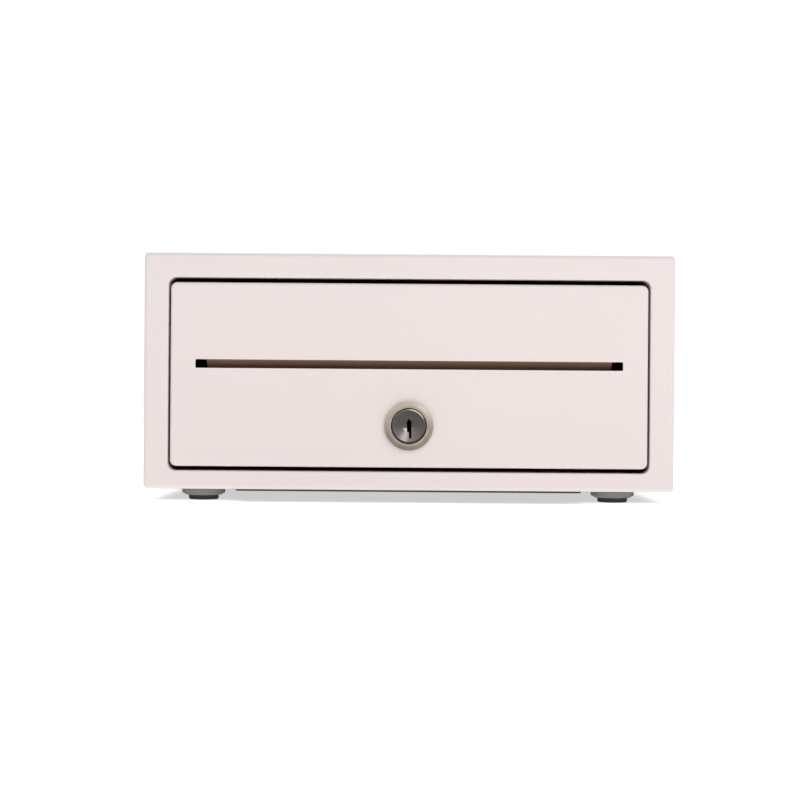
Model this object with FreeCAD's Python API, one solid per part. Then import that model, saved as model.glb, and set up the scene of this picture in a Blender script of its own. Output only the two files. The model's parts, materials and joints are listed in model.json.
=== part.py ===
import FreeCAD, Part
import math
import os

# A small steel cash drawer: folded casing, a drawer on ball slides behind a flush front, a
# removable till, a key lock, and a latch, solenoid, switch and ejector behind the drawer.
# Units are millimetres. The origin is at the bottom centre of the whole object's box, +Z is up
# and the drawer's front faces -Y. "Depth" is the distance behind the casing's front plane.

# Casing
case_width = 250.0
case_height = 111.3
case_depth = 300.0
sheet = 1.2
case_bottom = 6.2
fold_radius = 2.0
side_bar = 11.5
top_bar = 11.6
bottom_bar = 8.7
opening_corner = 3.8
lip_depth = 9.2
bottom_lip_depth = 20.0
base_thickness = 1.0
base_setback = 20.0
base_lip_setback = 5.5
base_lip_half = 82.0
base_inset = 2.5
rear_flange = 12.0
screw_x = 117.5
base_screw_depths = (60.0, 150.0, 240.0)
rear_screw_inset = 8.0

# Feet
foot_x = 99.3
foot_inset = 27.0
cup_radius = 10.4
cup_cone = 1.1
cup_cone_inset = 2.2
pad_radius = 7.2
pad_height = 2.2

# Drawer front
side_gap = 1.0
top_gap = 2.3
bottom_gap = 2.05
front_corner = 3.0
front_return = 12.0
slot_length = 201.4
slot_height = 4.1
slot_z = 65.3

# Lock
lock_z = 36.6
lock_proud = 3.2
bezel_radius = 11.5
bezel_rim = 9.6
bezel_edge = 1.7
barrel_radius = 9.5
plug_radius = 7.95
plug_recess = 0.15
plug_bevel = 0.55
plug_bevel_depth = 0.22
hollow_depth = 0.95
dish_radius = 2.9
dish_sphere = 6.36
dish_depth = 0.71
plug_gap = 0.5
plug_gap_depth = 1.3
plug_fit = 0.07
barrel_depth = 22.0
cam_depth = 23.0
cam_reach = 25.5

# Drawer pan
front_rivet_x = 108.3
front_rivet_heights = (32.0, 60.0, 88.0)
pan_half = 106.0
pan_sheet = 1.0
pan_floor = 23.0
pan_top = 94.0
pan_front = 30.0
pan_rear = 252.0

# Slides
slide_z = 58.0
slide_start = 14.0
slide_end = 250.0
ball_radius = 2.2
ball_fit = 0.08
ball_x = 110.2
ball_z = 10.3
inner_web = (106.0, 107.2)
inner_flange_end = 112.5
outer_web = (114.8, 116.0)
outer_flange_start = 107.6
bracket_web = (116.0, 117.2)
bracket_span = (16.0, 250.0)
cage_web = (113.4, 114.0)
cage_flange_start = 108.0
cage_start = 109.0
cage_length = 44.0
cage_ball_pitch = 15.0
inner_rivet_depths = (40.0, 130.0, 230.0)
outer_rivet_depths = (24.0, 170.0, 240.0)

# Till
till_half = 102.5
till_front = 33.0
till_rear = 249.0
till_bottom = 54.0
till_top = 96.0
till_wall = 2.0
coin_depth = 52.0
clip_depth = 240.0
clip_z = 82.0
clip_length = 50.0
clip_rest_angle = 29.0

# Latch group behind the drawer
latch_depth = 277.0
latch_z = 54.0
latch_release = 20.0
latch_pin_radius = 2.0
lever_arm = 10.0
solenoid_depth = 286.7
solenoid_screw_z = 24.0
solenoid_top = 40.0
plunger_radius = 4.5
actuator_screw_hole = 1.2

# Microswitch and ejector
switch_outer_x = -48.5
switch_inner_x = -42.0
switch_screw_heights = (29.0, 39.0)
switch_screw_depth = 270.0
switch_pivot_depth = 262.4
switch_pivot_z = 26.0
terminal_heights = (26.5, 33.5, 40.5)
ejector_x = 34.0
ejector_z = 44.0
ejector_tip = 252.5

# Rear face
screw_proud = 1.8
socket_x = 70.0
board_z = 18.0
board_sheet = 1.6
contact_count = 6
contact_pitch = 1.02
lead_radius = 0.75
lead_pitch = 2.2

Vec = FreeCAD.Vector
X = Vec(1, 0, 0)
Y = Vec(0, 1, 0)
Z = Vec(0, 0, 1)

front_y = lock_proud - (case_depth + lock_proud + screw_proud) / 2
case_top = case_bottom + case_height
half_width = case_width / 2
inner_half = half_width - sheet
base_bottom = case_bottom - base_thickness
open_half = half_width - side_bar
open_low = case_bottom + bottom_bar
open_high = case_top - top_bar


def box(x, depth, z):
    """A box from three (low, high) pairs; its second pair is depth behind the front plane."""
    size = (x[1] - x[0], depth[1] - depth[0], z[1] - z[0])
    return Part.makeBox(*size, Vec(x[0], front_y + depth[0], z[0]))


def cylinder(x, depth, z, radius, length, axis):
    return Part.makeCylinder(radius, length, Vec(x, front_y + depth, z), axis)


def fuse(shapes):
    return shapes[0].fuse(shapes[1:]).removeSplitter()


def group(shapes):
    return Part.makeCompound(shapes)


def mirror_x(shape):
    return shape.mirror(Vec(0, 0, 0), X)


def both_sides(shape):
    return [shape, mirror_x(shape)]


def round_edges(shape, radius, chosen):
    """Fillets the edges for which chosen(edge, its middle point) is true."""
    edges = [e for e in shape.Edges if chosen(e, e.valueAt((e.FirstParameter + e.LastParameter) / 2))]
    return shape.makeFillet(radius, edges)


def runs_along(edge, axis):
    start, end = edge.valueAt(edge.FirstParameter), edge.valueAt(edge.LastParameter)
    return isinstance(edge.Curve, Part.Line) and (end - start).normalize().cross(axis).Length < 1e-6


def in_front(point, depth=0.0):
    return abs(point.y - front_y - depth) < 0.01


def hex_prism(x, depth, z, across, length, axis):
    radius = across / math.sqrt(3)
    outline = []
    for corner in range(7):
        turn = math.radians(60 * corner)
        outline.append(Vec(radius * math.cos(turn), radius * math.sin(turn), 0))
    prism = Part.Face(Part.makePolygon(outline)).extrude(Vec(0, 0, length))
    turned = FreeCAD.Placement(Vec(x, front_y + depth, z), FreeCAD.Rotation(Z, axis))
    prism.Placement = turned
    return prism


def screw(x, depth, z, axis, head_radius, head_height, shank_radius, shank_length):
    """A pan-head screw; the point given is under the head and axis runs along the shank."""
    head = Part.makeCylinder(head_radius, head_height, Vec(0, 0, -head_height), Z)
    head = round_edges(head, head_height * 0.45, lambda e, p: e.Closed and abs(p.z + head_height) < 0.01)
    slot_size = head_radius * 1.1
    for long_x, long_y in ((slot_size, 0.6), (0.6, slot_size)):
        corner = Vec(-long_x / 2, -long_y / 2, -head_height)
        head = head.cut(Part.makeBox(long_x, long_y, head_height * 0.5, corner))
    shank = Part.makeCylinder(shank_radius, shank_length, Vec(0, 0, 0), Z)
    shape = fuse([head, shank])
    shape.Placement = FreeCAD.Placement(Vec(x, front_y + depth, z), FreeCAD.Rotation(Z, axis))
    return shape


def rivet(x, depth, z, axis, head_radius, shank_radius, grip):
    """A rivet with a low head at both ends of its grip; the point given is under the first head."""
    head_height = head_radius * 0.35
    low = Part.makeCylinder(head_radius, head_height, Vec(0, 0, -head_height), Z)
    high = Part.makeCylinder(head_radius, head_height, Vec(0, 0, grip), Z)
    low = round_edges(low, head_height * 0.6, lambda e, p: e.Closed and abs(p.z + head_height) < 0.01)
    high = round_edges(high, head_height * 0.6, lambda e, p: e.Closed and p.z > grip + head_height / 2)
    shape = fuse([low, Part.makeCylinder(shank_radius, grip, Vec(0, 0, 0), Z), high])
    shape.Placement = FreeCAD.Placement(Vec(x, front_y + depth, z), FreeCAD.Rotation(Z, axis))
    return shape


def coil_spring(x, depth, z, axis, radius, wire, length, turns):
    """A helical spring along axis from the point given."""
    pitch = (length - wire * 2) / turns
    helix = Part.makeLongHelix(pitch, pitch * turns, radius)
    section = Part.Wire([Part.makeCircle(wire, Vec(radius, 0, 0), Y)])
    shape = Part.Wire(helix.Edges).makePipeShell([section], True, True)
    shape.translate(Vec(0, 0, wire))
    shape.Placement = FreeCAD.Placement(
        Vec(x, front_y + depth, z), FreeCAD.Rotation(Z, axis)
    ).multiply(shape.Placement)
    return shape


def lead(points, radius, bend):
    """A held lead: straight runs joined by tangent arcs, swept with a round section."""
    points = [Vec(x, front_y + depth, z) for x, depth, z in points]
    edges = []
    start = points[0]
    for before, corner, after in zip(points, points[1:], points[2:]):
        inward = (before - corner).normalize()
        outward = (after - corner).normalize()
        half_turn = (math.pi - inward.getAngle(outward)) / 2
        reach = bend * math.tan(half_turn)
        arc_start = corner + inward * reach
        arc_end = corner + outward * reach
        centre_line = (inward + outward).normalize()
        middle = corner + centre_line * (bend / math.cos(half_turn) - bend)
        edges.append(Part.makeLine(start, arc_start))
        edges.append(Part.Arc(arc_start, middle, arc_end).toShape())
        start = arc_end
    edges.append(Part.makeLine(start, points[-1]))
    direction = (points[1] - points[0]).normalize()
    section = Part.Wire([Part.makeCircle(radius, points[0], direction)])
    return Part.Wire(edges).makePipeShell([section], True, True)


def save(node, shape):
    shape.exportStep(f"parts/{node}.step")


# ---------------------------------------------------------------- casing


def rounded_block(inset, rear_depth, radius):
    """The casing's outer form, taken in by inset, with its folds rounded."""
    block = box(
        (inset - half_width, half_width - inset),
        (inset, rear_depth),
        (case_bottom + inset, case_top - inset),
    )
    return round_edges(block, radius, lambda e, p: runs_along(e, Y) or in_front(p, inset))


def opening_block(grow, depth):
    """A block the shape of the drawer opening, with rounded corners."""
    block = box((-open_half - grow, open_half + grow), depth, (open_low - grow, open_high + grow))
    return round_edges(block, opening_corner + grow, lambda e, p: runs_along(e, Y))


def make_cover_shell():
    shell = rounded_block(0, case_depth, fold_radius)
    shell = shell.cut(rounded_block(sheet, case_depth + 1, fold_radius - sheet))
    flange = rear_flange
    rear_ring = box((-inner_half, inner_half), (case_depth - 2 * sheet, case_depth - sheet),
                    (case_bottom + sheet, case_top - sheet))
    rear_ring = rear_ring.cut(box(
        (flange - inner_half, inner_half - flange),
        (case_depth - 3 * sheet, case_depth),
        (case_bottom + sheet + flange, case_top - sheet - flange)))
    lips = opening_block(sheet, (0, lip_depth)).fuse(
        box((4 - open_half, open_half - 4), (0, bottom_lip_depth), (open_low - sheet, open_low)))
    shell = fuse([shell, rear_ring, lips])
    shell = shell.cut(opening_block(0, (-1, bottom_lip_depth + 1)))
    floor_gap = box((flange + 2 - inner_half, inner_half - flange - 2),
                    (bottom_lip_depth + 4, case_depth - 4 * sheet),
                    (case_bottom - 1, case_bottom + sheet + 0.5))
    shell = shell.cut(floor_gap)
    for x, depth in base_screw_places():
        shell = shell.cut(cylinder(x, depth, case_bottom - 1, 1.5, 4, Z))
    for x, z in rear_screw_places():
        shell = shell.cut(cylinder(x, case_depth - 5, z, 1.5, 6, Y))
    return round_edges(shell, 0.8, lambda e, p: in_front(p) and abs(p.x) < open_half + 0.1
                       and open_low - 0.1 < p.z < open_high + 0.1)


def base_screw_places():
    return [(side * screw_x, depth) for side in (-1, 1) for depth in base_screw_depths]


def rear_screw_places():
    heights = (case_bottom + rear_screw_inset, case_top - rear_screw_inset)
    return [(side * screw_x, z) for side in (-1, 1) for z in heights]


def foot_places():
    return [(side * foot_x, depth) for side in (-1, 1) for depth in (foot_inset, case_depth - foot_inset)]


def make_base_plate():
    """The bottom sheet; between the front feet it reaches forward to just behind the front."""
    half = half_width - base_inset
    thickness = (base_bottom, case_bottom)
    sheet_body = box((-half, half), (base_setback, case_depth - base_inset), thickness)
    tongue = box((-base_lip_half, base_lip_half), (base_lip_setback, base_setback), thickness)
    plate = fuse([sheet_body, tongue])
    plate = round_edges(plate, 3.0, lambda e, p: runs_along(e, Z))
    for x, depth in base_screw_places():
        plate = plate.cut(cylinder(x, depth, base_bottom - 1, 1.7, 3, Z))
    for x, depth in foot_places():
        plate = plate.cut(cylinder(x, depth, base_bottom - 1, 2.0, 3, Z))
    return plate


def make_rear_panel():
    panel = box((0.3 - inner_half, inner_half - 0.3), (case_depth - sheet, case_depth),
                (case_bottom + sheet + 0.3, case_top - sheet - 0.3))
    for x, z in rear_screw_places():
        panel = panel.cut(cylinder(x, case_depth - 3, z, 1.7, 5, Y))
    low = board_z + board_sheet
    window = box((socket_x - 6.6, socket_x + 6.6), (case_depth - 3, case_depth + 1), (low, low + 13))
    return panel.cut(window)


def make_case_screws():
    screws = [screw(x, depth, base_bottom, Z, 3.0, 1.6, 1.4, 5.0) for x, depth in base_screw_places()]
    screws += [screw(x, case_depth, z, -Y, 3.0, screw_proud, 1.4, 5.0) for x, z in rear_screw_places()]
    return group(screws)


def make_foot_cups():
    cups = []
    side_low = pad_height + cup_cone
    for x, depth in foot_places():
        side = cylinder(x, depth, side_low, cup_radius, base_bottom - side_low, Z)
        centre = Vec(x, front_y + depth, pad_height)
        cone = Part.makeCone(cup_radius - cup_cone_inset, cup_radius, cup_cone, centre, Z)
        cups.append(fuse([side, cone]).cut(cylinder(x, depth, 0, 2.0, 9, Z)))
    return group(cups)


def make_foot_pads():
    pads = []
    for x, depth in foot_places():
        pad = cylinder(x, depth, 0, pad_radius, pad_height, Z)
        pad = round_edges(pad, 0.8, lambda e, p: e.Closed and p.z < 0.1)
        pads.append(pad.cut(cylinder(x, depth, -1, 3.4, 4, Z)))
    return group(pads)


def make_foot_screws():
    return group([screw(x, depth, pad_height, Z, 3.0, 1.4, 1.75, 7.0) for x, depth in foot_places()])


# ---------------------------------------------------------------- slides, right-hand side


def rail(x, z, start=slide_start, end=slide_end):
    """A straight strip along the slide; z is measured from the slide's middle."""
    return box(x, (start, end), (slide_z + z[0], slide_z + z[1]))


def flanges(x, z, start=slide_start, end=slide_end):
    """The same strip above and below the slide's middle."""
    return [rail(x, z, start, end), rail(x, (-z[1], -z[0]), start, end)]


def ball_tracks(radius):
    length = slide_end - slide_start + 20
    heights = (slide_z - ball_z, slide_z + ball_z)
    return [cylinder(ball_x, slide_start - 10, z, radius, length, Y) for z in heights]


def make_slide_inner():
    """The channel on the drawer's side, with its outer corners hollowed for the balls."""
    member = fuse([rail(inner_web, (-8.3, 8.3))] + flanges((inner_web[1], inner_flange_end), (7.1, 8.3)))
    member = member.cut(ball_tracks(ball_radius + ball_fit))
    for depth in inner_rivet_depths:
        member = member.cut(cylinder(inner_web[0] - 1, depth, slide_z, 1.5, 4, X))
    return member


def make_slide_outer():
    """The channel on the casing's bracket, its end turned in to hold the stop."""
    across = (outer_flange_start, outer_web[0])
    shape = [rail(outer_web, (-13.5, 13.5), end=254)]
    shape += flanges(across, (12.3, 13.5))
    shape.append(rail(across, (-8.0, 8.0), 252.6, 254))
    member = fuse(shape).cut(ball_tracks(ball_radius + ball_fit))
    for depth in outer_rivet_depths:
        member = member.cut(cylinder(outer_web[0] - 1, depth, slide_z, 2.0, 4, X))
    return member


def make_slide_bracket():
    """The spacer between the outer slide member and the casing's side."""
    start, end = bracket_span
    shape = [rail(bracket_web, (-15, 15), start, end)]
    shape += flanges((bracket_web[1], inner_half - sheet), (13.8, 15), start, end)
    shape += flanges((inner_half - sheet, inner_half), (13.8, 21), start, end)
    bracket = fuse(shape)
    for depth in outer_rivet_depths:
        bracket = bracket.cut(cylinder(bracket_web[0] - 2, depth, slide_z, 2.0, 4, X))
    return bracket


def make_slide_rivet(depth):
    grip = bracket_web[1] - outer_web[0]
    shank = cylinder(outer_web[0], depth, slide_z, 2.0, grip, X)
    head = cylinder(bracket_web[1], depth, slide_z, 3.2, 1.1, X)
    return fuse([shank, head])


def cage_ball_depths():
    return [cage_start + cage_length / 2 + step * cage_ball_pitch for step in (-1, 0, 1)]


def make_cage():
    end = cage_start + cage_length
    shape = [rail(cage_web, (-10.6, 10.6), cage_start, end)]
    shape += flanges((cage_flange_start, cage_web[0]), (10.0, 10.6), cage_start, end)
    cage = fuse(shape)
    for depth in cage_ball_depths():
        cage = cage.cut(cylinder(ball_x, depth, slide_z - 14, ball_radius + 0.15, 28, Z))
        cage = cage.cut(cylinder(cage_web[0] - 0.4, depth, slide_z, 4.0, 2, X))
    return cage


def make_cage_balls():
    balls = []
    for depth in cage_ball_depths():
        for side in (-1, 1):
            centre = Vec(ball_x, front_y + depth, slide_z + side * ball_z)
            balls.append(Part.makeSphere(ball_radius, centre))
    return group(balls)


def make_slide_bumper():
    return rail((108.0, 114.4), (-6.0, 6.0), 250.7, 252.6)


# ---------------------------------------------------------------- drawer


def front_block(grow, depth):
    """A block the shape of the drawer front, taken in by -grow."""
    block = box((side_gap - open_half - grow, open_half - side_gap + grow), depth,
                (open_low + bottom_gap - grow, open_high - top_gap + grow))
    return round_edges(block, front_corner + grow, lambda e, p: runs_along(e, Y))


def make_drawer_front():
    front = front_block(0, (0, front_return))
    front = round_edges(front, 1.5, lambda e, p: in_front(p))
    front = front.cut(front_block(-sheet, (sheet, front_return + 1)))
    half_length, half_height = slot_length / 2, slot_height / 2
    slot = box((-half_length, half_length), (-1, 3), (slot_z - half_height, slot_z + half_height))
    slot = round_edges(slot, 0.5, lambda e, p: runs_along(e, Y))
    front = front.cut(slot)
    front = front.cut(cylinder(0, -1, lock_z, barrel_radius, 5, Y))
    for x, z in front_rivet_places():
        front = front.cut(cylinder(x, 0.6, z, 1.2, 2, Y))
    return front


def front_rivet_places():
    return [(side * front_rivet_x, z) for side in (-1, 1) for z in front_rivet_heights]


def make_front_studs():
    """Weld studs on the front's back face, with the rivet heads that hold the pan's flanges."""
    studs = []
    for x, z in front_rivet_places():
        stud = cylinder(x, 0.6, z, 1.2, 1.6, Y)
        head = cylinder(x, sheet + pan_sheet, z, 2.2, 1.0, Y)
        head = round_edges(head, 0.6, lambda e, p: e.Closed and p.y > front_y + sheet + pan_sheet + 0.9)
        studs.append(fuse([stud, head]))
    return group(studs)


def make_slot_baffle():
    """A bent plate: its flange lies on the front's back face and its slope guides media down."""
    outline = [(sheet, 70.0), (sheet, 82.0), (2.0, 82.0), (2.0, 70.4), (26.0, 52.4), (29.0, 52.4),
               (29.0, 51.6), (25.7, 51.6), (sheet, 70.0)]
    points = [Vec(-96, front_y + depth, z) for depth, z in outline]
    return Part.Face(Part.makePolygon(points)).extrude(Vec(192, 0, 0))


def make_drawer_pan():
    wall = (pan_half - pan_sheet, pan_half)
    shape = [box((-pan_half, pan_half), (pan_front, pan_rear), (pan_floor, pan_floor + pan_sheet)),
             box((-pan_half, pan_half), (pan_rear - pan_sheet, pan_rear), (pan_floor, pan_top)),
             box((-pan_half, pan_half), (pan_front, pan_front + pan_sheet), (pan_floor, 46.0))]
    side = [box(wall, (pan_front, pan_rear), (pan_floor, pan_top)),
            box(wall, (sheet, pan_front), (26.0, pan_top)),
            box((pan_half, pan_half + 2), (sheet, pan_rear), (pan_top - pan_sheet, pan_top)),
            box((wall[0], 110.9), (sheet, sheet + pan_sheet), (26.0, pan_top))]
    for piece in side:
        shape += both_sides(piece)
    pan = fuse(shape)
    for depth in inner_rivet_depths:
        for direction in (-1, 1):
            pan = pan.cut(cylinder(direction * 103, depth, slide_z, 1.5, 5, Vec(direction, 0, 0)))
    for x, z in front_rivet_places():
        pan = pan.cut(cylinder(x, 0, z, 1.2, 5, Y))
    return pan


def make_inner_rivets():
    rivets = []
    for depth in inner_rivet_depths:
        right = rivet(pan_half - pan_sheet, depth, slide_z, X, 2.6, 1.5, 2.2)
        rivets += both_sides(right)
    return group(rivets)


def make_striker():
    """A round bar bent to a staple on the pan's rear wall, for the latch to hook."""
    bar, half, reach = 2.0, 8.0, 14.0
    z = latch_z - 9
    legs = [cylinder(x, pan_rear, z, bar, reach, Y) for x in (-half, half)]
    cross = cylinder(-half, pan_rear + reach, z, bar, 2 * half, X)
    corners = [Part.makeSphere(bar, Vec(x, front_y + pan_rear + reach, z)) for x in (-half, half)]
    plate = box((-14, 14), (pan_rear, pan_rear + 1.5), (latch_z - 14, latch_z - 4))
    return fuse(legs + [cross, plate] + corners)


def make_till_rails():
    shelf = box((97.5, 105.0), (till_front, till_rear), (till_bottom - 1.3, till_bottom - 0.3))
    web = box((104.0, 105.0), (till_front, till_rear), (till_bottom - 9, till_bottom - 1.3))
    return group(both_sides(fuse([shelf, web])))


# ---------------------------------------------------------------- lock


def make_lock_barrel():
    """A coned bezel on a threaded barrel, bored for the plug with a shadow gap round its face."""
    bezel = cylinder(0, -bezel_edge, lock_z, bezel_radius, bezel_edge, Y)
    tip = Vec(0, front_y - lock_proud, lock_z)
    cone = Part.makeCone(bezel_rim, bezel_radius, lock_proud - bezel_edge, tip, Y)
    barrel = cylinder(0, 0, lock_z, barrel_radius, barrel_depth, Y)
    thread = []
    for step in range(12):
        thread.append(cylinder(0, 5.0 + step * 1.25, lock_z, barrel_radius + 1, 0.5, Y).cut(
            cylinder(0, 4.9 + step * 1.25, lock_z, barrel_radius - 0.35, 0.7, Y)))
    lock = fuse([bezel, cone, barrel]).cut(group(thread))
    mouth = cylinder(0, -lock_proud, lock_z, plug_radius + plug_gap, plug_gap_depth, Y)
    bore = cylinder(0, -lock_proud - 1, lock_z, plug_radius + plug_fit, barrel_depth + 6, Y)
    return lock.cut([mouth, bore])


def make_lock_nut():
    nut = hex_prism(0, sheet, lock_z, 24, 3.0, Y)
    return nut.cut(cylinder(0, 0, lock_z, barrel_radius, 6, Y))


def make_lock_plug():
    """The plug: a bevelled, hollow-coned face with a dished middle, the keyway, and a square tail."""
    face = plug_recess - lock_proud
    front = Vec(0, front_y + face, lock_z)
    bevel = Part.makeCone(plug_radius - plug_bevel, plug_radius, plug_bevel_depth, front, Y)
    shoulder = cam_depth - 0.3
    bevel_end = face + plug_bevel_depth
    body = cylinder(0, bevel_end, lock_z, plug_radius, shoulder - bevel_end, Y)
    tail = box((-3.5, 3.5), (shoulder, cam_depth + 2.0), (lock_z - 3.5, lock_z + 3.5))
    hollow = Part.makeCone(plug_radius - plug_bevel, dish_radius, hollow_depth, front, Y)
    dish = Part.makeSphere(dish_sphere, front + Vec(0, hollow_depth + dish_depth - dish_sphere, 0))
    keyway = box((-0.9, 1.2), (face - 1, face + 14), (lock_z - 2.8, lock_z + 2.4))
    ward = box((-0.4, 0.5), (face - 1, face + 14), (lock_z + 2.4, lock_z + 3.2))
    slit = box((0.1, 1.2), (face - 1, face + 14), (lock_z - 5.8, lock_z - 2.8))
    plug = fuse([bevel, body, tail]).cut([hollow, dish, keyway, ward, slit])
    return plug.cut(cylinder(0, cam_depth - 5, lock_z, 1.6, 12, Y))


def make_lock_cam():
    hub = cylinder(0, cam_depth, lock_z, 8.0, 2.0, Y)
    finger = box((0, cam_reach), (cam_depth, cam_depth + 2), (lock_z - 4.5, lock_z + 4.5))
    finger = round_edges(finger, 3.0, lambda e, p: runs_along(e, Y) and p.x > 1)
    cam = fuse([hub, finger])
    return cam.cut(box((-3.5, 3.5), (cam_depth - 1, cam_depth + 3), (lock_z - 3.5, lock_z + 3.5)))


def make_lock_cam_screw():
    return screw(0, cam_depth + 2.0, lock_z, -Y, 5.2, 2.0, 1.5, 6.0)


# ---------------------------------------------------------------- till


def make_till_tray():
    outer = box((-till_half, till_half), (till_front, till_rear), (till_bottom, till_top))
    outer = round_edges(outer, 5.0, lambda e, p: runs_along(e, Z))
    inside = box((till_wall - till_half, till_half - till_wall),
                 (till_front + till_wall, till_rear - till_wall),
                 (till_bottom + till_wall, till_top + 1))
    inside = round_edges(inside, 3.0, lambda e, p: runs_along(e, Z))
    tray = outer.cut(inside)
    cross_start = till_front + till_wall + coin_depth
    cross = box((0.5 - till_half, till_half - 0.5), (cross_start, cross_start + till_wall),
                (till_bottom + 1, till_top - 3))
    tray = fuse([tray, cross])
    return tray.cut(cylinder(0.8 - till_half, clip_depth, clip_z, 1.5, 2 * till_half - 1.6, X))


def compartment_width():
    return (2 * (till_half - till_wall) - 2 * till_wall) / 3


def make_bill_dividers():
    x = compartment_width() / 2
    start = till_front + 2 * till_wall + coin_depth + 0.2
    heights = (till_bottom + till_wall, till_top - 5)
    wall = box((x, x + till_wall), (start, till_rear - till_wall - 0.2), heights)
    wall = round_edges(wall, 8.0, lambda e, p: runs_along(e, X) and p.z > till_top - 6)
    wall = wall.cut(cylinder(x - 1, clip_depth, clip_z, 1.5, 4, X))
    return group(both_sides(wall))


def make_coin_cups():
    half = till_half - till_wall - 0.3
    depth = (till_front + till_wall + 0.3, till_front + till_wall + coin_depth - 0.3)
    block = box((-half, half), depth, (till_bottom + till_wall, till_top - 4))
    block = round_edges(block, 3.5, lambda e, p: runs_along(e, Z))
    rib = 1.6
    width = (2 * half - 5 * rib) / 4
    cup_depth = (depth[0] + rib, depth[1] - rib)
    cup_heights = (till_bottom + till_wall + 1.5, till_top + 9)
    for place in range(4):
        left = -half + rib + place * (width + rib)
        cup = box((left, left + width), cup_depth, cup_heights)
        cup = round_edges(cup, 16.0, lambda e, p: runs_along(e, X) and p.z < till_top)
        block = block.cut(cup)
    return block


def make_clip_rod():
    return cylinder(0.8 - till_half, clip_depth, clip_z, 1.5, 2 * till_half - 1.6, X)


def clip_places():
    step = compartment_width() + till_wall
    return [-step, 0.0, step]


def make_bill_clip(x):
    """A sprung arm on the rod, with a rounded foot that holds the notes and a tab to lift it."""
    tip = clip_depth - clip_length
    width = (x - 6, x + 6)
    hub = cylinder(x - 8, clip_depth, clip_z, 3.4, 16, X)
    arm = box(width, (tip, clip_depth), (clip_z - 0.8, clip_z + 0.8))
    foot = cylinder(x - 6, tip, clip_z, 1.6, 12, X)
    tab = box(width, (tip + 4, tip + 5.4), (clip_z, clip_z + 5))
    clip = fuse([hub, arm, foot, tab])
    clip.rotate(Vec(x, front_y + clip_depth, clip_z), X, clip_rest_angle)
    return clip.cut(cylinder(x - 9, clip_depth, clip_z, 1.56, 18, X))


def make_clip_springs():
    return group([coil_spring(x + 8.4, clip_depth, clip_z, X, 2.5, 0.4, 7.0, 6) for x in clip_places()])


# ---------------------------------------------------------------- latch, solenoid, switch, ejector


def make_latch_bracket():
    foot = box((-20, 20), (271, 294.5), (case_bottom, case_bottom + 1.5))
    walls = both_sides(box((12.6, 14.1), (271, 292), (case_bottom, 60)))
    bracket = fuse([foot] + walls)
    bracket = round_edges(bracket, 4.0, lambda e, p: runs_along(e, X) and p.z > 59)
    bracket = bracket.cut(cylinder(-20, solenoid_depth, solenoid_screw_z, actuator_screw_hole, 40, X))
    return bracket.cut(cylinder(-20, latch_depth, latch_z, latch_pin_radius, 40, X))


def make_latch_pin():
    return rivet(-14.1, latch_depth, latch_z, X, 3.2, latch_pin_radius, 28.2)


def make_latch_lever():
    """The hooked lever, drawn engaged and then turned up to its released position."""
    thick = (-1.5, 1.5)
    hook = box(thick, (258, 262), (latch_z - 12, latch_z))
    arm = box(thick, (258, latch_depth), (latch_z - 4, latch_z + 2))
    arm = round_edges(arm, 2.0, lambda e, p: runs_along(e, X) and p.y < front_y + 259)
    tail = box(thick, (latch_depth, 290), (latch_z - 3, latch_z + 3))
    tail = round_edges(tail, 2.5, lambda e, p: runs_along(e, X) and p.y > front_y + 289)
    hub = cylinder(-12.2, latch_depth, latch_z, 4.0, 24.4, X)
    pin = cylinder(-4.4, latch_depth + lever_arm, latch_z, 1.2, 8.8, X)
    lever = fuse([hook, arm, tail, hub, pin])
    lever = lever.cut(cylinder(-13, latch_depth, latch_z, latch_pin_radius + 0.06, 26, X))
    lever.rotate(Vec(0, front_y + latch_depth, latch_z), X, -latch_release)
    return lever


def make_solenoid_frame():
    low, high, thick = case_bottom + 1.5, solenoid_top, 1.5
    depth = (279.5, 293.9)
    frame = [box((-12.2, 12.2), depth, (low, low + thick)), box((-12.2, 12.2), depth, (high - thick, high))]
    frame += both_sides(box((10.7, 12.2), depth, (low, high)))
    frame.append(cylinder(0, solenoid_depth, low + thick, plunger_radius, 3.5, Z))
    return fuse(frame).cut([cylinder(0, solenoid_depth, high - 3, 5.0, 5, Z),
                            cylinder(-20, solenoid_depth, solenoid_screw_z, actuator_screw_hole, 40, X)])


def make_solenoid_bobbin():
    low, high = case_bottom + 3.0, solenoid_top - 1.5
    body = [cylinder(0, solenoid_depth, low, 6.0, high - low, Z),
            cylinder(0, solenoid_depth, low, 9.6, 1.4, Z),
            cylinder(0, solenoid_depth, high - 1.4, 9.6, 1.4, Z)]
    return fuse(body).cut(cylinder(0, solenoid_depth, low - 1, 4.8, high, Z))


def make_solenoid_coil():
    low, high = case_bottom + 4.4, solenoid_top - 2.9
    return cylinder(0, solenoid_depth, low, 9.2, high - low, Z).cut(
        cylinder(0, solenoid_depth, low - 1, 6.0, high, Z))


def make_actuator_screws():
    """The screws that hold the solenoid's frame and the microswitch to their brackets."""
    solenoid = screw(14.1, solenoid_depth, solenoid_screw_z, -X, 2.4, 1.3, actuator_screw_hole, 3.0)
    switch = []
    for z in switch_screw_heights:
        place = (switch_inner_x, switch_screw_depth, z)
        switch.append(screw(*place, -X, 2.4, 1.3, actuator_screw_hole, 8.5))
    return group(both_sides(solenoid) + switch)


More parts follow.
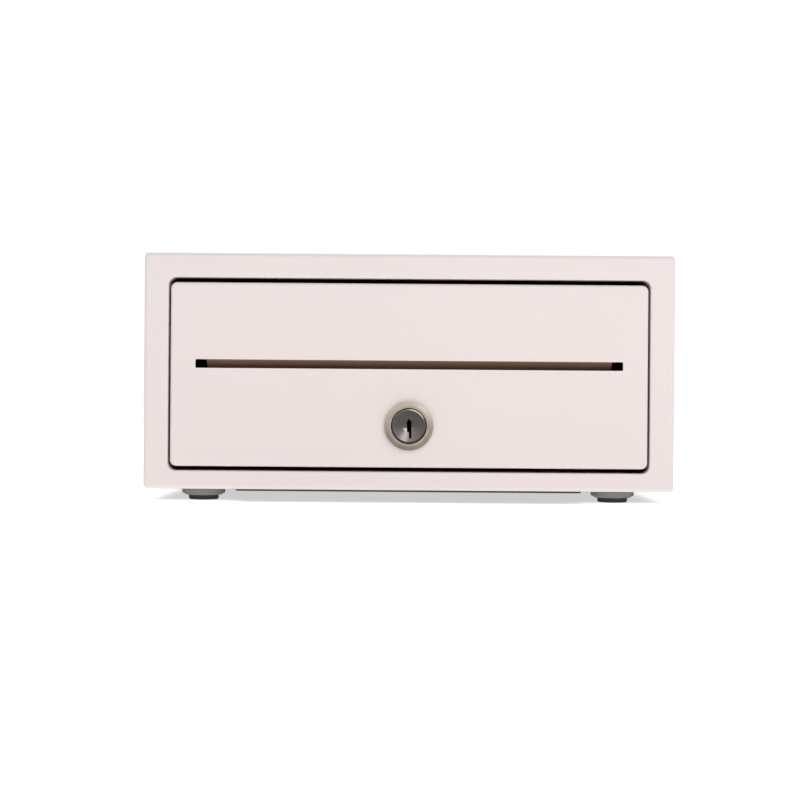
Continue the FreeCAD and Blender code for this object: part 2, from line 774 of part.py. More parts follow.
def make_solenoid_plunger():
    """The plunger, at its pulled-in position, with a fork for the lever's pin."""
    body = cylinder(0, solenoid_depth, 14.0, plunger_radius, 40.5, Z)
    collar = cylinder(0, solenoid_depth, solenoid_top + 4.3, 6.0, 1.2, Z)
    plunger = fuse([body, collar])
    plunger = plunger.cut(box((-2.0, 2.0), (280, 294), (solenoid_top + 5.5, 56)))
    pin_depth = latch_depth + lever_arm * math.cos(math.radians(latch_release))
    pin_z = latch_z - lever_arm * math.sin(math.radians(latch_release))
    slot = box((-6, 6), (pin_depth - 2.0, pin_depth + 2.4), (pin_z - 1.55, pin_z + 1.55))
    return plunger.cut(slot)


def make_plunger_spring():
    return coil_spring(0, solenoid_depth, solenoid_top + 0.1, Z, 5.5, 0.4, 4.0, 3)


def make_switch_bracket():
    outer = switch_outer_x
    foot = box((outer - 13.5, outer), (264, 282), (case_bottom, case_bottom + sheet))
    wall = box((outer - sheet, outer), (264, 282), (case_bottom, 46))
    holes = []
    for z in switch_screw_heights:
        holes.append(cylinder(outer - 2.5, switch_screw_depth, z, actuator_screw_hole, 4, X))
    return fuse([foot, wall]).cut(holes)


def make_microswitch_body():
    outer, inner = switch_outer_x, switch_inner_x
    pieces = [box((outer, inner), (264, 276), (24, 44)),
              box((outer, outer + 1.0), (260.9, 264), (24.2, 28)),
              box((inner - 1.0, inner), (260.9, 264), (24.2, 28)),
              cylinder(outer, switch_pivot_depth, switch_pivot_z, 0.7, inner - outer, X)]
    pieces += [box((-46.5, -44.0), (276, 280), (z, z + 0.8)) for z in terminal_heights]
    body = fuse(pieces)
    for z in switch_screw_heights:
        body = body.cut(cylinder(outer - 0.5, switch_screw_depth, z, actuator_screw_hole, 8, X))
    return body


def make_microswitch_lever():
    """The switch's hinged blade and its roller, leaning towards the drawer."""
    left, width = -47.1, 3.7
    depth, z = switch_pivot_depth, switch_pivot_z
    hub = cylinder(left, depth, z, 1.3, width, X)
    blade = box((left, left + width), (depth - 0.4, depth), (z, z + 21.0))
    roller = cylinder(left, depth - 0.2, z + 21.0, 1.3, width, X)
    lever = fuse([hub, blade, roller]).cut(cylinder(left - 2, depth, z, 0.76, 8, X))
    lever.rotate(Vec(left, front_y + depth, z), X, 22.0)
    return lever


def make_ejector_bracket():
    foot = box((ejector_x - 10, ejector_x + 10), (272, 290), (case_bottom, case_bottom + 1.5))
    ears = [box((ejector_x - 8, ejector_x + 8), (start, start + 1.5), (case_bottom, ejector_z + 8))
            for start in (274.0, 286.0)]
    ribs = [box((ejector_x + left, ejector_x + left + 1.5), (274.0, 287.5), (case_bottom, ejector_z - 10))
            for left in (-8.0, 6.5)]
    bracket = fuse([foot] + ears + ribs)
    return bracket.cut(cylinder(ejector_x, 270, ejector_z, 3.08, 25, Y))


def make_ejector_pusher():
    start = ejector_tip + 3.5
    rod = cylinder(ejector_x, start, ejector_z, 3.0, 34, Y)
    collar = cylinder(ejector_x, start, ejector_z, 6.0, 1.5, Y)
    clip = cylinder(ejector_x, start + 32.0, ejector_z, 5.0, 0.8, Y)
    return fuse([rod, collar, clip])


def make_ejector_cap():
    cap = cylinder(ejector_x, ejector_tip, ejector_z, 5.5, 3.5, Y)
    return round_edges(cap, 1.2, lambda e, p: e.Closed and in_front(p, ejector_tip))


def make_ejector_spring():
    return coil_spring(ejector_x, ejector_tip + 5.1, ejector_z, Y, 4.4, 0.5, 16.3, 6)


# ---------------------------------------------------------------- wiring


def make_interface_socket():
    low = board_z + board_sheet
    body = box((socket_x - 6.6, socket_x + 6.6), (case_depth - 17, case_depth), (low, low + 13))
    mouth = box((socket_x - 4.9, socket_x + 4.9), (case_depth - 13, case_depth + 1), (low + 2.4, low + 9.2))
    notch = box((socket_x - 1.7, socket_x + 1.7), (case_depth - 8, case_depth + 1), (low + 9.0, low + 11.2))
    return body.cut([mouth, notch])


def make_socket_contacts():
    low = board_z + board_sheet + 2.4
    wires = []
    for place in range(contact_count):
        x = socket_x + (place - (contact_count - 1) / 2) * contact_pitch
        wires.append(box((x - 0.2, x + 0.2), (case_depth - 12.9, case_depth - 4), (low, low + 0.6)))
    return group(wires)


def board_post_places():
    return [(socket_x - 18, case_depth - 30), (socket_x + 11, case_depth - 30)]


def make_socket_board():
    board = box((socket_x - 22, socket_x + 15), (case_depth - 34, case_depth - 4),
                (board_z, board_z + board_sheet))
    return board.cut([cylinder(x, depth, board_z - 1, 1.5, 4, Z) for x, depth in board_post_places()])


def make_board_posts():
    posts = []
    for x, depth in board_post_places():
        post = hex_prism(x, depth, case_bottom, 5.0, board_z - case_bottom, Z)
        head = cylinder(x, depth, board_z + board_sheet, 2.6, 1.4, Z)
        posts.append(fuse([post, cylinder(x, depth, board_z - 1, 1.5, 3, Z), head]))
    return group(posts)


def make_wire_harness():
    """Two leads from the board to the solenoid's coil and two to the microswitch's terminals."""
    top = board_z + board_sheet
    leads = []
    for step in (0, 1):
        offset = lead_pitch * step
        x, z = socket_x - 15 + offset, top + 8 + offset
        route = [(x, 281, top), (x, 281, z), (40, 294.8, z), (5.8, 294.8, z)]
        leads.append(lead(route, lead_radius, 3.0))
    for step, terminal in enumerate((terminal_heights[0], terminal_heights[-1])):
        offset = lead_pitch * step
        x, z = socket_x - 20.3, top + 4 + offset
        terminal_x, terminal_z = -45.2, terminal + 0.4
        route = [(x, 281 - offset, top), (x, 281 - offset, z), (x - 3.7 - offset, 296.9, z),
                 (terminal_x, 296.9, z), (terminal_x, 290, terminal_z), (terminal_x, 280, terminal_z)]
        leads.append(lead(route, lead_radius, 2.5))
    return group(leads)


def main():
    os.makedirs("parts", exist_ok=True)
    save("cover_shell", make_cover_shell())
    save("base_plate", make_base_plate())
    save("rear_panel", make_rear_panel())
    save("case_screws", make_case_screws())
    save("foot_cups", make_foot_cups())
    save("foot_pads", make_foot_pads())
    save("foot_screws", make_foot_screws())

    sided = {"slide_bracket": make_slide_bracket(), "slide_outer": make_slide_outer(),
             "slide_inner": make_slide_inner(), "slide_cage": make_cage(), "slide_balls": make_cage_balls()}
    for name, shape in sided.items():
        save(name + "_right", shape)
        save(name + "_left", mirror_x(shape))
    rivets = []
    for depth in outer_rivet_depths:
        rivets += both_sides(make_slide_rivet(depth))
    save("slide_rivets", group(rivets))
    save("slide_bumpers", group(both_sides(make_slide_bumper())))

    save("drawer_front", make_drawer_front())
    save("front_rivets", make_front_studs())
    save("slot_baffle", make_slot_baffle())
    save("drawer_pan", make_drawer_pan())
    save("inner_slide_rivets", make_inner_rivets())
    save("striker", make_striker())
    save("till_rails", make_till_rails())

    save("lock_barrel", make_lock_barrel())
    save("lock_nut", make_lock_nut())
    save("lock_plug", make_lock_plug())
    save("lock_cam", make_lock_cam())
    save("lock_cam_screw", make_lock_cam_screw())

    save("till_tray", make_till_tray())
    save("bill_dividers", make_bill_dividers())
    save("coin_cups", make_coin_cups())
    save("clip_rod", make_clip_rod())
    save("clip_springs", make_clip_springs())
    for name, x in zip(("left", "middle", "right"), clip_places()):
        save("bill_clip_" + name, make_bill_clip(x))

    save("latch_bracket", make_latch_bracket())
    save("latch_pivot_pin", make_latch_pin())
    save("latch_lever", make_latch_lever())
    save("solenoid_frame", make_solenoid_frame())
    save("solenoid_bobbin", make_solenoid_bobbin())
    save("solenoid_coil", make_solenoid_coil())
    save("actuator_screws", make_actuator_screws())
    save("solenoid_plunger", make_solenoid_plunger())
    save("plunger_spring", make_plunger_spring())
    save("microswitch_bracket", make_switch_bracket())
    save("microswitch_body", make_microswitch_body())
    save("microswitch_lever", make_microswitch_lever())
    save("ejector_bracket", make_ejector_bracket())
    save("ejector_pusher", make_ejector_pusher())
    save("ejector_cap", make_ejector_cap())
    save("ejector_spring", make_ejector_spring())

    save("interface_socket", make_interface_socket())
    save("socket_contacts", make_socket_contacts())
    save("socket_board", make_socket_board())
    save("board_posts", make_board_posts())
    save("wire_harness", make_wire_harness())


main()
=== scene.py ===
import json
import math

import bmesh
import bpy
from mathutils import Matrix, Vector


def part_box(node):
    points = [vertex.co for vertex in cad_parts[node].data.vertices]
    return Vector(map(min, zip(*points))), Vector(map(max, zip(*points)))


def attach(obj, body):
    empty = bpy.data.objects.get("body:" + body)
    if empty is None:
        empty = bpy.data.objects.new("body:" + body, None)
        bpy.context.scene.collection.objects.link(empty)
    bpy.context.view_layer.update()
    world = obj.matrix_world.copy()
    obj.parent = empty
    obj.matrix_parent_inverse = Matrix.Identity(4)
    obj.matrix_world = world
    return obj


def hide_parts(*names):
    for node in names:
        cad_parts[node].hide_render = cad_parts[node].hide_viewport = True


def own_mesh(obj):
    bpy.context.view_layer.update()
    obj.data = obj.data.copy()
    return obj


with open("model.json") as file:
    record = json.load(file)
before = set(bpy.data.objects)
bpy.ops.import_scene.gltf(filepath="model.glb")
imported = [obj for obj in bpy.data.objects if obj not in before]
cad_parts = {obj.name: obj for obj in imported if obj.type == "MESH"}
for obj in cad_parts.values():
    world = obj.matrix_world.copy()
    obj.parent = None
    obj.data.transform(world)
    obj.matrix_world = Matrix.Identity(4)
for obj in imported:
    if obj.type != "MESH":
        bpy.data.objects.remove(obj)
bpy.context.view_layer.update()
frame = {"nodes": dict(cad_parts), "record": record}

# ---------------------------------------------------------------- places, read from the frame

FRONT_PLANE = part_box("cover_shell")[0].y
LOCK_LOW, LOCK_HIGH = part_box("lock_barrel")
LOCK_AXIS = (LOCK_LOW + LOCK_HIGH) / 2
COIL_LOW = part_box("solenoid_coil")[0]


# ---------------------------------------------------------------- node helpers


class Surface:
    """One procedural material: a Principled shader and the nodes that feed it."""

    def __init__(self, name, metallic=0.0, specular=0.5, coat=0.0, coat_roughness=0.1):
        self.material = bpy.data.materials.new(name)
        self.material.use_nodes = True
        self.tree = self.material.node_tree
        self.tree.nodes.clear()
        self.shader = self.tree.nodes.new("ShaderNodeBsdfPrincipled")
        output = self.tree.nodes.new("ShaderNodeOutputMaterial")
        self.link(self.shader.outputs["BSDF"], output.inputs["Surface"])
        self.shader.inputs["Metallic"].default_value = metallic
        self.shader.inputs["Specular IOR Level"].default_value = specular
        self.shader.inputs["Coat Weight"].default_value = coat
        self.shader.inputs["Coat Roughness"].default_value = coat_roughness
        self.place = self.tree.nodes.new("ShaderNodeTexCoord").outputs["Object"]

    def link(self, source, target):
        self.tree.links.new(source, target)

    def moved(self, origin=(0, 0, 0), scale=(1, 1, 1)):
        """The object's own coordinates, measured from origin and scaled along each axis."""
        shift = self.tree.nodes.new("ShaderNodeVectorMath")
        shift.operation = "SUBTRACT"
        shift.inputs[1].default_value = origin
        self.link(self.place, shift.inputs[0])
        stretch = self.tree.nodes.new("ShaderNodeVectorMath")
        stretch.operation = "MULTIPLY"
        stretch.inputs[1].default_value = scale
        self.link(shift.outputs[0], stretch.inputs[0])
        return stretch.outputs[0]

    def noise(self, scale, detail=3.0, roughness=0.5, vector=None, distortion=0.0):
        """Cloudy noise, of a finer pattern the larger its scale."""
        node = self.tree.nodes.new("ShaderNodeTexNoise")
        node.inputs["Scale"].default_value = scale
        node.inputs["Detail"].default_value = detail
        node.inputs["Roughness"].default_value = roughness
        node.inputs["Distortion"].default_value = distortion
        self.link(vector or self.place, node.inputs["Vector"])
        return node.outputs["Fac"]

    def cells(self, scale, feature="F1"):
        """The distance to the nearest of a field of scattered points."""
        node = self.tree.nodes.new("ShaderNodeTexVoronoi")
        node.feature = feature
        node.inputs["Scale"].default_value = scale
        self.link(self.place, node.inputs["Vector"])
        return node.outputs["Distance"]

    def math(self, operation, first, second=0.0):
        node = self.tree.nodes.new("ShaderNodeMath")
        node.operation = operation
        for socket, value in zip(node.inputs, (first, second)):
            if isinstance(value, (int, float)):
                socket.default_value = value
            else:
                self.link(value, socket)
        return node.outputs[0]

    def spread(self, value, low, high, start=0.3, end=0.7):
        """Maps value from the range start..end to low..high."""
        node = self.tree.nodes.new("ShaderNodeMapRange")
        node.inputs["From Min"].default_value = start
        node.inputs["From Max"].default_value = end
        node.inputs["To Min"].default_value = low
        node.inputs["To Max"].default_value = high
        self.link(value, node.inputs["Value"])
        return node.outputs["Result"]

    def blend(self, factor, first, second):
        """A colour from first to second by factor."""
        node = self.tree.nodes.new("ShaderNodeMix")
        node.data_type = "RGBA"
        self.link(factor, node.inputs["Factor"])
        for socket, value in ((node.inputs["A"], first), (node.inputs["B"], second)):
            colour = [s for s in node.inputs if s.name == socket.name and s.type == "RGBA"][0]
            if isinstance(value, tuple):
                colour.default_value = (*value, 1.0)
            else:
                self.link(value, colour)
        return [s for s in node.outputs if s.type == "RGBA"][0]

    def colour(self, value):
        self.link(value, self.shader.inputs["Base Color"])

    def roughness(self, value):
        self.link(value, self.shader.inputs["Roughness"])

    def bump(self, *heights):
        """Adds bumps: each is (height, its size in metres, strength)."""
        normal = None
        for height, distance, strength in heights:
            node = self.tree.nodes.new("ShaderNodeBump")
            node.inputs["Distance"].default_value = distance
            node.inputs["Strength"].default_value = strength
            self.link(height, node.inputs["Height"])
            if normal:
                self.link(normal, node.inputs["Normal"])
            normal = node.outputs["Normal"]
        self.link(normal, self.shader.inputs["Normal"])

    def separate(self, vector):
        node = self.tree.nodes.new("ShaderNodeSeparateXYZ")
        self.link(vector, node.inputs[0])
        return node.outputs


def shade(colour, factor):
    """A lighter or darker colour of the same hue."""
    return tuple(channel * factor for channel in colour)


# ---------------------------------------------------------------- materials


def powder_coat(name, colour, rough=(0.42, 0.52)):
    """Sprayed powder paint: fine orange peel, a faint drift of tone and a few soft scuffs."""
    s = Surface(name, specular=0.42)
    drift = s.noise(9.0, detail=2.0)
    speck = s.noise(900.0, detail=2.0)
    streaks = s.moved(scale=(1.0, 0.25, 1.6))
    scuff = s.noise(60.0, detail=4.0, roughness=0.6, vector=streaks, distortion=0.6)
    tone = s.blend(s.spread(drift, 0.0, 1.0), shade(colour, 0.985), colour)
    speckled = s.spread(speck, 0.0, 0.25, start=0.55, end=0.75)
    s.colour(s.blend(speckled, tone, shade(colour, 0.95)))
    scuffed = s.spread(scuff, 0.0, 0.09, start=0.6, end=0.75)
    s.roughness(s.math("ADD", s.spread(drift, *rough), scuffed))
    peel = s.noise(520.0, detail=2.0)
    fine_peel = s.noise(1900.0, detail=1.0)
    s.bump((peel, 0.00006, 0.30), (fine_peel, 0.00002, 0.25))
    return s.material


def plated_steel(name, colour, rough=(0.26, 0.42), grain=(1.0, 0.03, 1.0)):
    """Plated metal: fine grain, drawn out along Y unless grain is even, and faint clouds."""
    s = Surface(name, metallic=1.0)
    line = s.noise(1400.0, roughness=0.6, vector=s.moved(scale=grain))
    cloud = s.noise(45.0)
    spangle = s.cells(160.0)
    tone = s.blend(s.spread(cloud, 0.0, 1.0), shade(colour, 0.86), colour)
    spangled = s.spread(spangle, 0.0, 0.35, start=0.2, end=0.9)
    s.colour(s.blend(spangled, tone, shade(colour, 1.12)))
    s.roughness(s.math("ADD", s.spread(cloud, *rough), s.spread(line, -0.05, 0.07)))
    s.bump((line, 0.00003, 0.35))
    return s.material


# How far the painted shade in the lock's hollows fades in, in metres.
PAINTED_SHADE_FADE = 0.0005


def turned_metal(name, colour, rough, ring_scale, ring, painted_shade_depth, painted_shade_radius):
    """Metal turned about the lock's axis: fine rings, light wear, and painted shade, near black, in
    its hollows.
    """
    s = Surface(name, metallic=1.0)
    flat = s.moved(origin=LOCK_AXIS, scale=(1.0, 0.0, 1.0))
    length = s.tree.nodes.new("ShaderNodeVectorMath")
    length.operation = "LENGTH"
    s.link(flat, length.inputs[0])
    ring_vector = s.tree.nodes.new("ShaderNodeCombineXYZ")
    s.link(length.outputs["Value"], ring_vector.inputs[0])
    rings = s.noise(ring_scale, detail=2.0, roughness=0.6, vector=ring_vector.outputs[0])
    streaks = s.moved(scale=(0.25, 1.0, 1.4))
    scratch = s.noise(700.0, detail=4.0, roughness=0.7, vector=streaks, distortion=0.4)
    cloud = s.noise(190.0)
    tone = s.blend(s.spread(cloud, 0.0, 1.0), shade(colour, 0.88), colour)
    scratched = s.spread(scratch, 0.0, 0.3, start=0.62, end=0.8)
    worn = s.blend(scratched, tone, shade(colour, 0.6))
    # Painted shade: surfaces further behind the lock's front than the given depth and nearer its axis
    # than the given radius are painted near black, and made rougher.
    depth = s.separate(s.moved(origin=(0.0, LOCK_LOW.y, 0.0)))[1]
    deep = s.spread(depth, 0.0, 1.0, start=painted_shade_depth, end=painted_shade_depth + PAINTED_SHADE_FADE)
    inside = s.math("LESS_THAN", length.outputs["Value"], painted_shade_radius)
    painted_shade = s.math("MULTIPLY", deep, inside)
    s.colour(s.blend(painted_shade, worn, shade(colour, 0.02)))
    polish = s.math("ADD", s.spread(cloud, *rough), s.spread(rings, -0.03, 0.08))
    s.roughness(s.math("ADD", polish, s.math("MULTIPLY", painted_shade, 0.4)))
    s.bump((rings, 0.00002, ring), (scratch, 0.00001, 0.25))
    return s.material


def moulded_plastic(name, colour, rough=(0.5, 0.62), grain=1300.0, depth=0.00004):
    """Moulded plastic: spark-eroded grain, a little flow variation and smooth rubbed patches."""
    s = Surface(name, specular=0.45)
    flow = s.noise(22.0)
    grit = s.cells(grain, feature="SMOOTH_F1")
    fine = s.noise(grain * 1.7, detail=2.0)
    rub = s.noise(85.0, detail=5.0, roughness=0.65)
    tone = s.blend(s.spread(flow, 0.0, 1.0), shade(colour, 0.9), shade(colour, 1.08))
    paler = s.spread(rub, 0.0, 0.4, start=0.62, end=0.8)
    s.colour(s.blend(paler, tone, shade(colour, 1.35)))
    smoother = s.spread(rub, 0.0, -0.08, start=0.6, end=0.75)
    s.roughness(s.math("ADD", s.spread(flow, *rough), smoother))
    s.bump((grit, depth, 0.4), (fine, depth * 0.4, 0.4))
    return s.material


def rubber(name, colour):
    """Matt rubber with a fine skin and light dust."""
    s = Surface(name, specular=0.3)
    dust = s.noise(140.0, detail=5.0, roughness=0.7)
    dusted = s.spread(dust, 0.0, 0.5, start=0.55, end=0.8)
    s.colour(s.blend(dusted, colour, shade(colour, 2.4)))
    s.roughness(s.spread(dust, 0.72, 0.88))
    skin = s.noise(1500.0)
    dimples = s.noise(260.0, detail=2.0)
    s.bump((skin, 0.00004, 0.5), (dimples, 0.00006, 0.25))
    return s.material


COIL_WIRE_PITCH = 0.00042


def copper_winding(name, colour, centre):
    """Enamelled wire wound in layers about an upright axis: a ridge for each turn, with painted shade
    in the grooves between turns.
    """
    s = Surface(name, metallic=1.0, coat=0.5, coat_roughness=0.12)
    height = s.separate(s.moved(origin=centre))[2]
    half_phase = s.math("MULTIPLY", height, math.pi / COIL_WIRE_PITCH)
    ridge = s.math("ABSOLUTE", s.math("SINE", half_phase))
    drift = s.noise(260.0, vector=s.moved(scale=(0.3, 0.3, 3.0)))
    tone = s.blend(s.spread(drift, 0.0, 1.0), shade(colour, 0.72), colour)
    # Painted shade: the grooves between the turns are painted darker.
    painted_groove_shade = s.spread(ridge, 1.0, 0.0, start=0.0, end=0.5)
    s.colour(s.blend(painted_groove_shade, tone, shade(colour, 0.25)))
    s.roughness(s.spread(drift, 0.22, 0.36))
    s.bump((ridge, 0.00012, 0.8))
    return s.material


def circuit_board(name, colour):
    """Solder mask over copper tracks, with the tracks' edges standing a little proud."""
    s = Surface(name, specular=0.5, coat=0.3, coat_roughness=0.2)
    grid = s.tree.nodes.new("ShaderNodeTexBrick")
    grid.inputs["Scale"].default_value = 260.0
    grid.inputs["Mortar Size"].default_value = 0.12
    grid.inputs["Color1"].default_value = (0.0, 0.0, 0.0, 1.0)
    grid.inputs["Color2"].default_value = (0.25, 0.25, 0.25, 1.0)
    grid.inputs["Mortar"].default_value = (1.0, 1.0, 1.0, 1.0)
    s.link(s.place, grid.inputs["Vector"])
    weave = s.noise(1200.0, detail=2.0)
    tone = s.blend(s.spread(weave, 0.0, 1.0), shade(colour, 0.8), shade(colour, 1.1))
    track = s.math("MULTIPLY", grid.outputs["Fac"], 0.55)
    s.colour(s.blend(track, tone, shade(colour, 1.9)))
    s.roughness(s.spread(weave, 0.28, 0.4))
    s.bump((grid.outputs["Fac"], 0.00004, 0.5), (weave, 0.00001, 0.3))
    return s.material


def wire_jacket(name, colour):
    """The smooth, slightly mottled jacket of a lead."""
    s = Surface(name, specular=0.5)
    mottle = s.noise(320.0)
    s.colour(s.blend(s.spread(mottle, 0.0, 1.0), shade(colour, 0.75), colour))
    s.roughness(s.spread(mottle, 0.28, 0.42))
    s.bump((s.noise(1500.0, detail=2.0), 0.00002, 0.3))
    return s.material


WHITE = (0.79, 0.71, 0.695)
BLACK_COAT = (0.055, 0.040, 0.034)
BROWN = (0.50, 0.275, 0.185)

MATERIALS = {
    "case_paint": powder_coat("case_paint", WHITE),
    "inner_paint": powder_coat("inner_paint", BLACK_COAT, rough=(0.5, 0.62)),
    "baffle_paint": powder_coat("baffle_paint", BROWN, rough=(0.5, 0.6)),
    "zinc_steel": plated_steel("zinc_steel", (0.60, 0.61, 0.62)),
    "screw_steel": plated_steel("screw_steel", (0.55, 0.55, 0.56), rough=(0.22, 0.36),
                                grain=(1.0, 1.0, 1.0)),
    "lock_nickel": turned_metal("lock_nickel", (0.86, 0.78, 0.655), rough=(0.36, 0.47),
                                ring_scale=2600.0, ring=0.6, painted_shade_depth=0.0003, painted_shade_radius=0.00852),
    # The plug's metal is coloured darker than plated chrome: painted shade standing in for the dark
    # reflections in its dished face.
    "plug_steel": turned_metal("plug_steel", (0.32, 0.285, 0.28), rough=(0.13, 0.22),
                               ring_scale=3400.0, ring=0.5, painted_shade_depth=0.0027, painted_shade_radius=0.02),
    "cup_plastic": moulded_plastic("cup_plastic", (0.235, 0.24, 0.232)),
    "pad_rubber": rubber("pad_rubber", (0.045, 0.045, 0.045)),
    "till_plastic": moulded_plastic("till_plastic", (0.022, 0.022, 0.023), rough=(0.42, 0.55)),
    "bobbin_plastic": moulded_plastic("bobbin_plastic", (0.70, 0.68, 0.60), rough=(0.4, 0.5),
                                      grain=900.0, depth=0.00002),
    "coil_copper": copper_winding("coil_copper", (0.62, 0.26, 0.10), COIL_LOW),
    "switch_plastic": moulded_plastic("switch_plastic", (0.018, 0.018, 0.018), rough=(0.25, 0.35),
                                      grain=900.0, depth=0.00001),
    "board_green": circuit_board("board_green", (0.012, 0.10, 0.035)),
    "contact_gold": plated_steel("contact_gold", (0.83, 0.60, 0.22), rough=(0.18, 0.3)),
    "lead_jacket": wire_jacket("lead_jacket", (0.32, 0.018, 0.014)),
}


def finish_cad_nodes():
    """Gives every carried-over CAD node the procedural material of its slot."""
    for row in frame["record"]["subparts"]:
        obj = frame["nodes"][row["node"]]
        obj.data.materials.clear()
        obj.data.materials.append(MATERIALS[row["material_slot"]])


# ---------------------------------------------------------------- ejector spring

WIRE_RADIUS = 0.0005
SPRING_TURNS = 7
STEPS_PER_TURN = 40
WIRE_SIDES = 12


def spring_points(low, high):
    """The middle line of a spring along Y between two corners, with a closed turn at each end."""
    radius = (high.x - low.x) / 2 - WIRE_RADIUS
    middle = (low + high) / 2
    start = low.y + WIRE_RADIUS
    length = high.y - low.y - 2 * WIRE_RADIUS
    closed_rise = 2.1 * WIRE_RADIUS
    open_rise = (length - 2 * closed_rise) / (SPRING_TURNS - 2)
    points = []
    for step in range(SPRING_TURNS * STEPS_PER_TURN + 1):
        turn = step / STEPS_PER_TURN
        closed = min(turn, 1.0) + max(turn - (SPRING_TURNS - 1), 0.0)
        rise = closed * closed_rise + (turn - closed) * open_rise
        angle = 2 * math.pi * turn
        around = Vector((radius * math.cos(angle), 0.0, radius * math.sin(angle)))
        points.append(Vector((middle.x, start + rise, middle.z)) + around)
    return points


def wire_mesh(name, points):
    """A wire of round rings, each square to the points' line, closed at both ends.

    The rings turn about the line where it runs upright, which pinches the wire there.
    """
    mesh = bmesh.new()
    rings = []
    for index, point in enumerate(points):
        ahead = points[min(index + 1, len(points) - 1)]
        behind = points[max(index - 1, 0)]
        turn = (ahead - behind).to_track_quat("Z", "Y")
        ring = []
        for side in range(WIRE_SIDES):
            angle = 2 * math.pi * side / WIRE_SIDES
            rim = Vector((math.cos(angle), math.sin(angle), 0.0)) * WIRE_RADIUS
            ring.append(mesh.verts.new(point + turn @ rim))
        rings.append(ring)
    for first, second in zip(rings, rings[1:]):
        for side in range(WIRE_SIDES):
            after = (side + 1) % WIRE_SIDES
            mesh.faces.new((first[side], first[after], second[after], second[side])).smooth = True
    mesh.faces.new(rings[0][::-1])
    mesh.faces.new(rings[-1])
    bmesh.ops.recalc_face_normals(mesh, faces=mesh.faces)
    data = bpy.data.meshes.new(name)
    mesh.to_mesh(data)
    mesh.free()
    return data


def make_ejector_coil():
    """The ejector's spring as a wire coil, fixed to the casing in place of the CAD spring."""
    low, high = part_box("ejector_spring")
    coil = bpy.data.objects.new("ejector_coil", wire_mesh("ejector_coil", spring_points(low, high)))
    bpy.context.scene.collection.objects.link(coil)
    coil.data.materials.append(MATERIALS["screw_steel"])
    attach(coil, "casing")
    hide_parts("ejector_spring")
    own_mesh(coil)


# ---------------------------------------------------------------- stage

FLOOR_HALF = 8.0
FLOOR_GLOW = 0.58
FLOOR_BOUNCE = 0.66
FLOOR_IN_METAL = (0.37, 0.36, 0.355)
HORIZON_LIGHT = 0.38
ZENITH_LIGHT = 0.56
BACKDROP_LIGHT = 1.02
FULL_LIGHT_RISE = 0.45
LIT_POINT = (0.0, 0.0, 0.06)


def make_floor():
    """A plain pale floor: white to the camera, a soft bounce on the object, and grey in its metal."""
    floor_mesh = bpy.data.meshes.new("floor")
    half = FLOOR_HALF
    corners = [(-half, -half, 0), (half, -half, 0), (half, half, 0), (-half, half, 0)]
    floor_mesh.from_pydata(corners, [], [(0, 1, 2, 3)])
    floor = bpy.data.objects.new("floor", floor_mesh)
    bpy.context.scene.collection.objects.link(floor)
    s = Surface("floor_paper", specular=0.1)
    pale = s.blend(s.spread(s.noise(3.0), 0.0, 1.0), (0.86, 0.86, 0.86), (0.88, 0.88, 0.88))
    path = s.tree.nodes.new("ShaderNodeLightPath").outputs
    s.colour(s.blend(path["Is Glossy Ray"], pale, FLOOR_IN_METAL))
    s.roughness(s.spread(s.noise(120.0), 0.85, 0.95))
    s.shader.inputs["Emission Color"].default_value = (1.0, 1.0, 1.0, 1.0)
    seen = s.math("MULTIPLY", path["Is Camera Ray"], FLOOR_GLOW)
    given = s.math("MULTIPLY", path["Is Diffuse Ray"], FLOOR_BOUNCE)
    s.link(s.math("ADD", seen, given), s.shader.inputs["Emission Strength"])
    floor_mesh.materials.append(s.material)


def make_area_light(name, place, size, power):
    """A soft rectangular lamp at place that faces the object."""
    data = bpy.data.lights.new(name, "AREA")
    data.shape = "RECTANGLE"
    data.size, data.size_y = size
    data.energy = power
    lamp = bpy.data.objects.new(name, data)
    lamp.location = place
    lamp.rotation_euler = (Vector(LIT_POINT) - Vector(place)).to_track_quat("-Z", "Y").to_euler()
    bpy.context.scene.collection.objects.link(lamp)


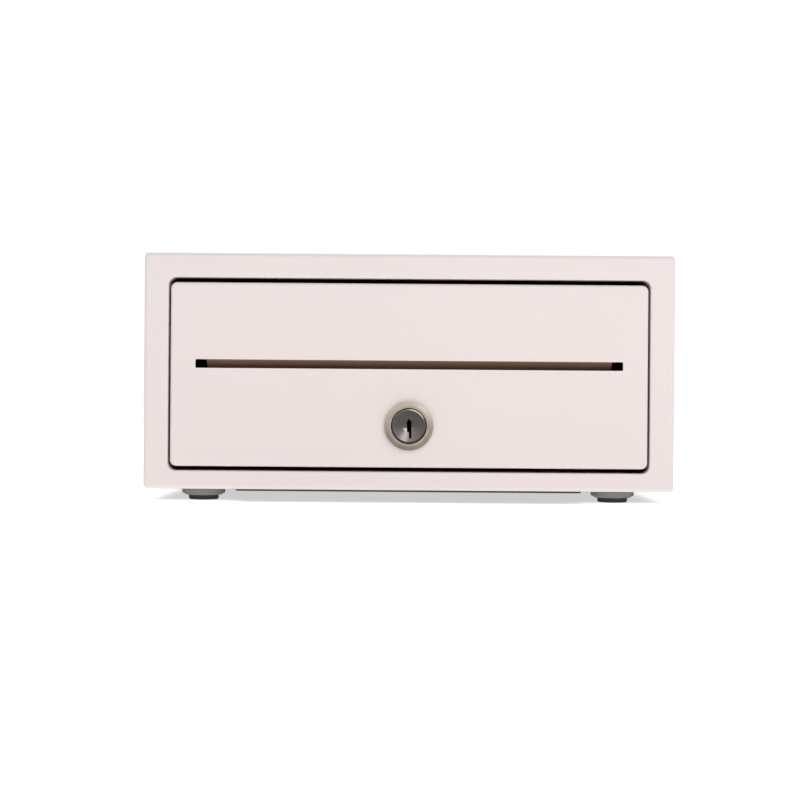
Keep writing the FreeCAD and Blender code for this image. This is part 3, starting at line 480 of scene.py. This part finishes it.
def make_world():
    """A white backdrop that lights the object more from above than from the horizon."""
    world = bpy.data.worlds.new("studio")
    world.use_nodes = True
    nodes, links = world.node_tree.nodes, world.node_tree.links
    direction = nodes.new("ShaderNodeTexCoord").outputs["Generated"]
    height = nodes.new("ShaderNodeSeparateXYZ")
    links.new(direction, height.inputs[0])
    rise = nodes.new("ShaderNodeMapRange")
    rise.interpolation_type = "SMOOTHSTEP"
    rise.inputs["From Min"].default_value = 0.0
    rise.inputs["From Max"].default_value = FULL_LIGHT_RISE
    rise.inputs["To Min"].default_value = HORIZON_LIGHT
    rise.inputs["To Max"].default_value = ZENITH_LIGHT
    links.new(height.outputs["Z"], rise.inputs["Value"])
    strength = nodes.new("ShaderNodeMix")
    strength.inputs["B"].default_value = BACKDROP_LIGHT
    links.new(nodes.new("ShaderNodeLightPath").outputs["Is Camera Ray"], strength.inputs["Factor"])
    links.new(rise.outputs["Result"], strength.inputs["A"])
    background = nodes["Background"]
    background.inputs["Color"].default_value = (1.0, 1.0, 1.0, 1.0)
    links.new(strength.outputs["Result"], background.inputs["Strength"])
    bpy.context.scene.world = world


def make_lights():
    """A key lamp before the object to its right, and a lamp above and behind it for its top."""
    make_area_light("key", place=(0.6, -1.3, 0.9), size=(1.2, 0.8), power=6.15)
    make_area_light("top", place=(-0.3, 0.7, 1.4), size=(1.4, 1.4), power=8.0)


SEEN_WIDTH = 0.37648
SENSOR_WIDTH = 36.0
CAMERA_DISTANCE = 0.80
CAMERA_HEIGHT = 0.0488
CAMERA_X = -0.00424
CAMERA_ROLL = math.radians(0.44)


def make_camera():
    """A level camera facing the drawer's front, rolled by just under half a degree."""
    data = bpy.data.cameras.new("camera")
    data.sensor_width = SENSOR_WIDTH
    data.lens = SENSOR_WIDTH * CAMERA_DISTANCE / SEEN_WIDTH
    data.clip_start = 0.01
    data.clip_end = 50.0
    camera = bpy.data.objects.new("camera", data)
    turn = Matrix.Rotation(math.radians(90), 4, "X") @ Matrix.Rotation(CAMERA_ROLL, 4, "Z")
    place = Vector((CAMERA_X, FRONT_PLANE - CAMERA_DISTANCE, CAMERA_HEIGHT))
    camera.matrix_world = Matrix.Translation(place) @ turn
    bpy.context.scene.collection.objects.link(camera)
    bpy.context.scene.camera = camera


finish_cad_nodes()
make_ejector_coil()
make_floor()
make_world()
make_lights()
make_camera()
bpy.context.scene.view_settings.view_transform = "Standard"
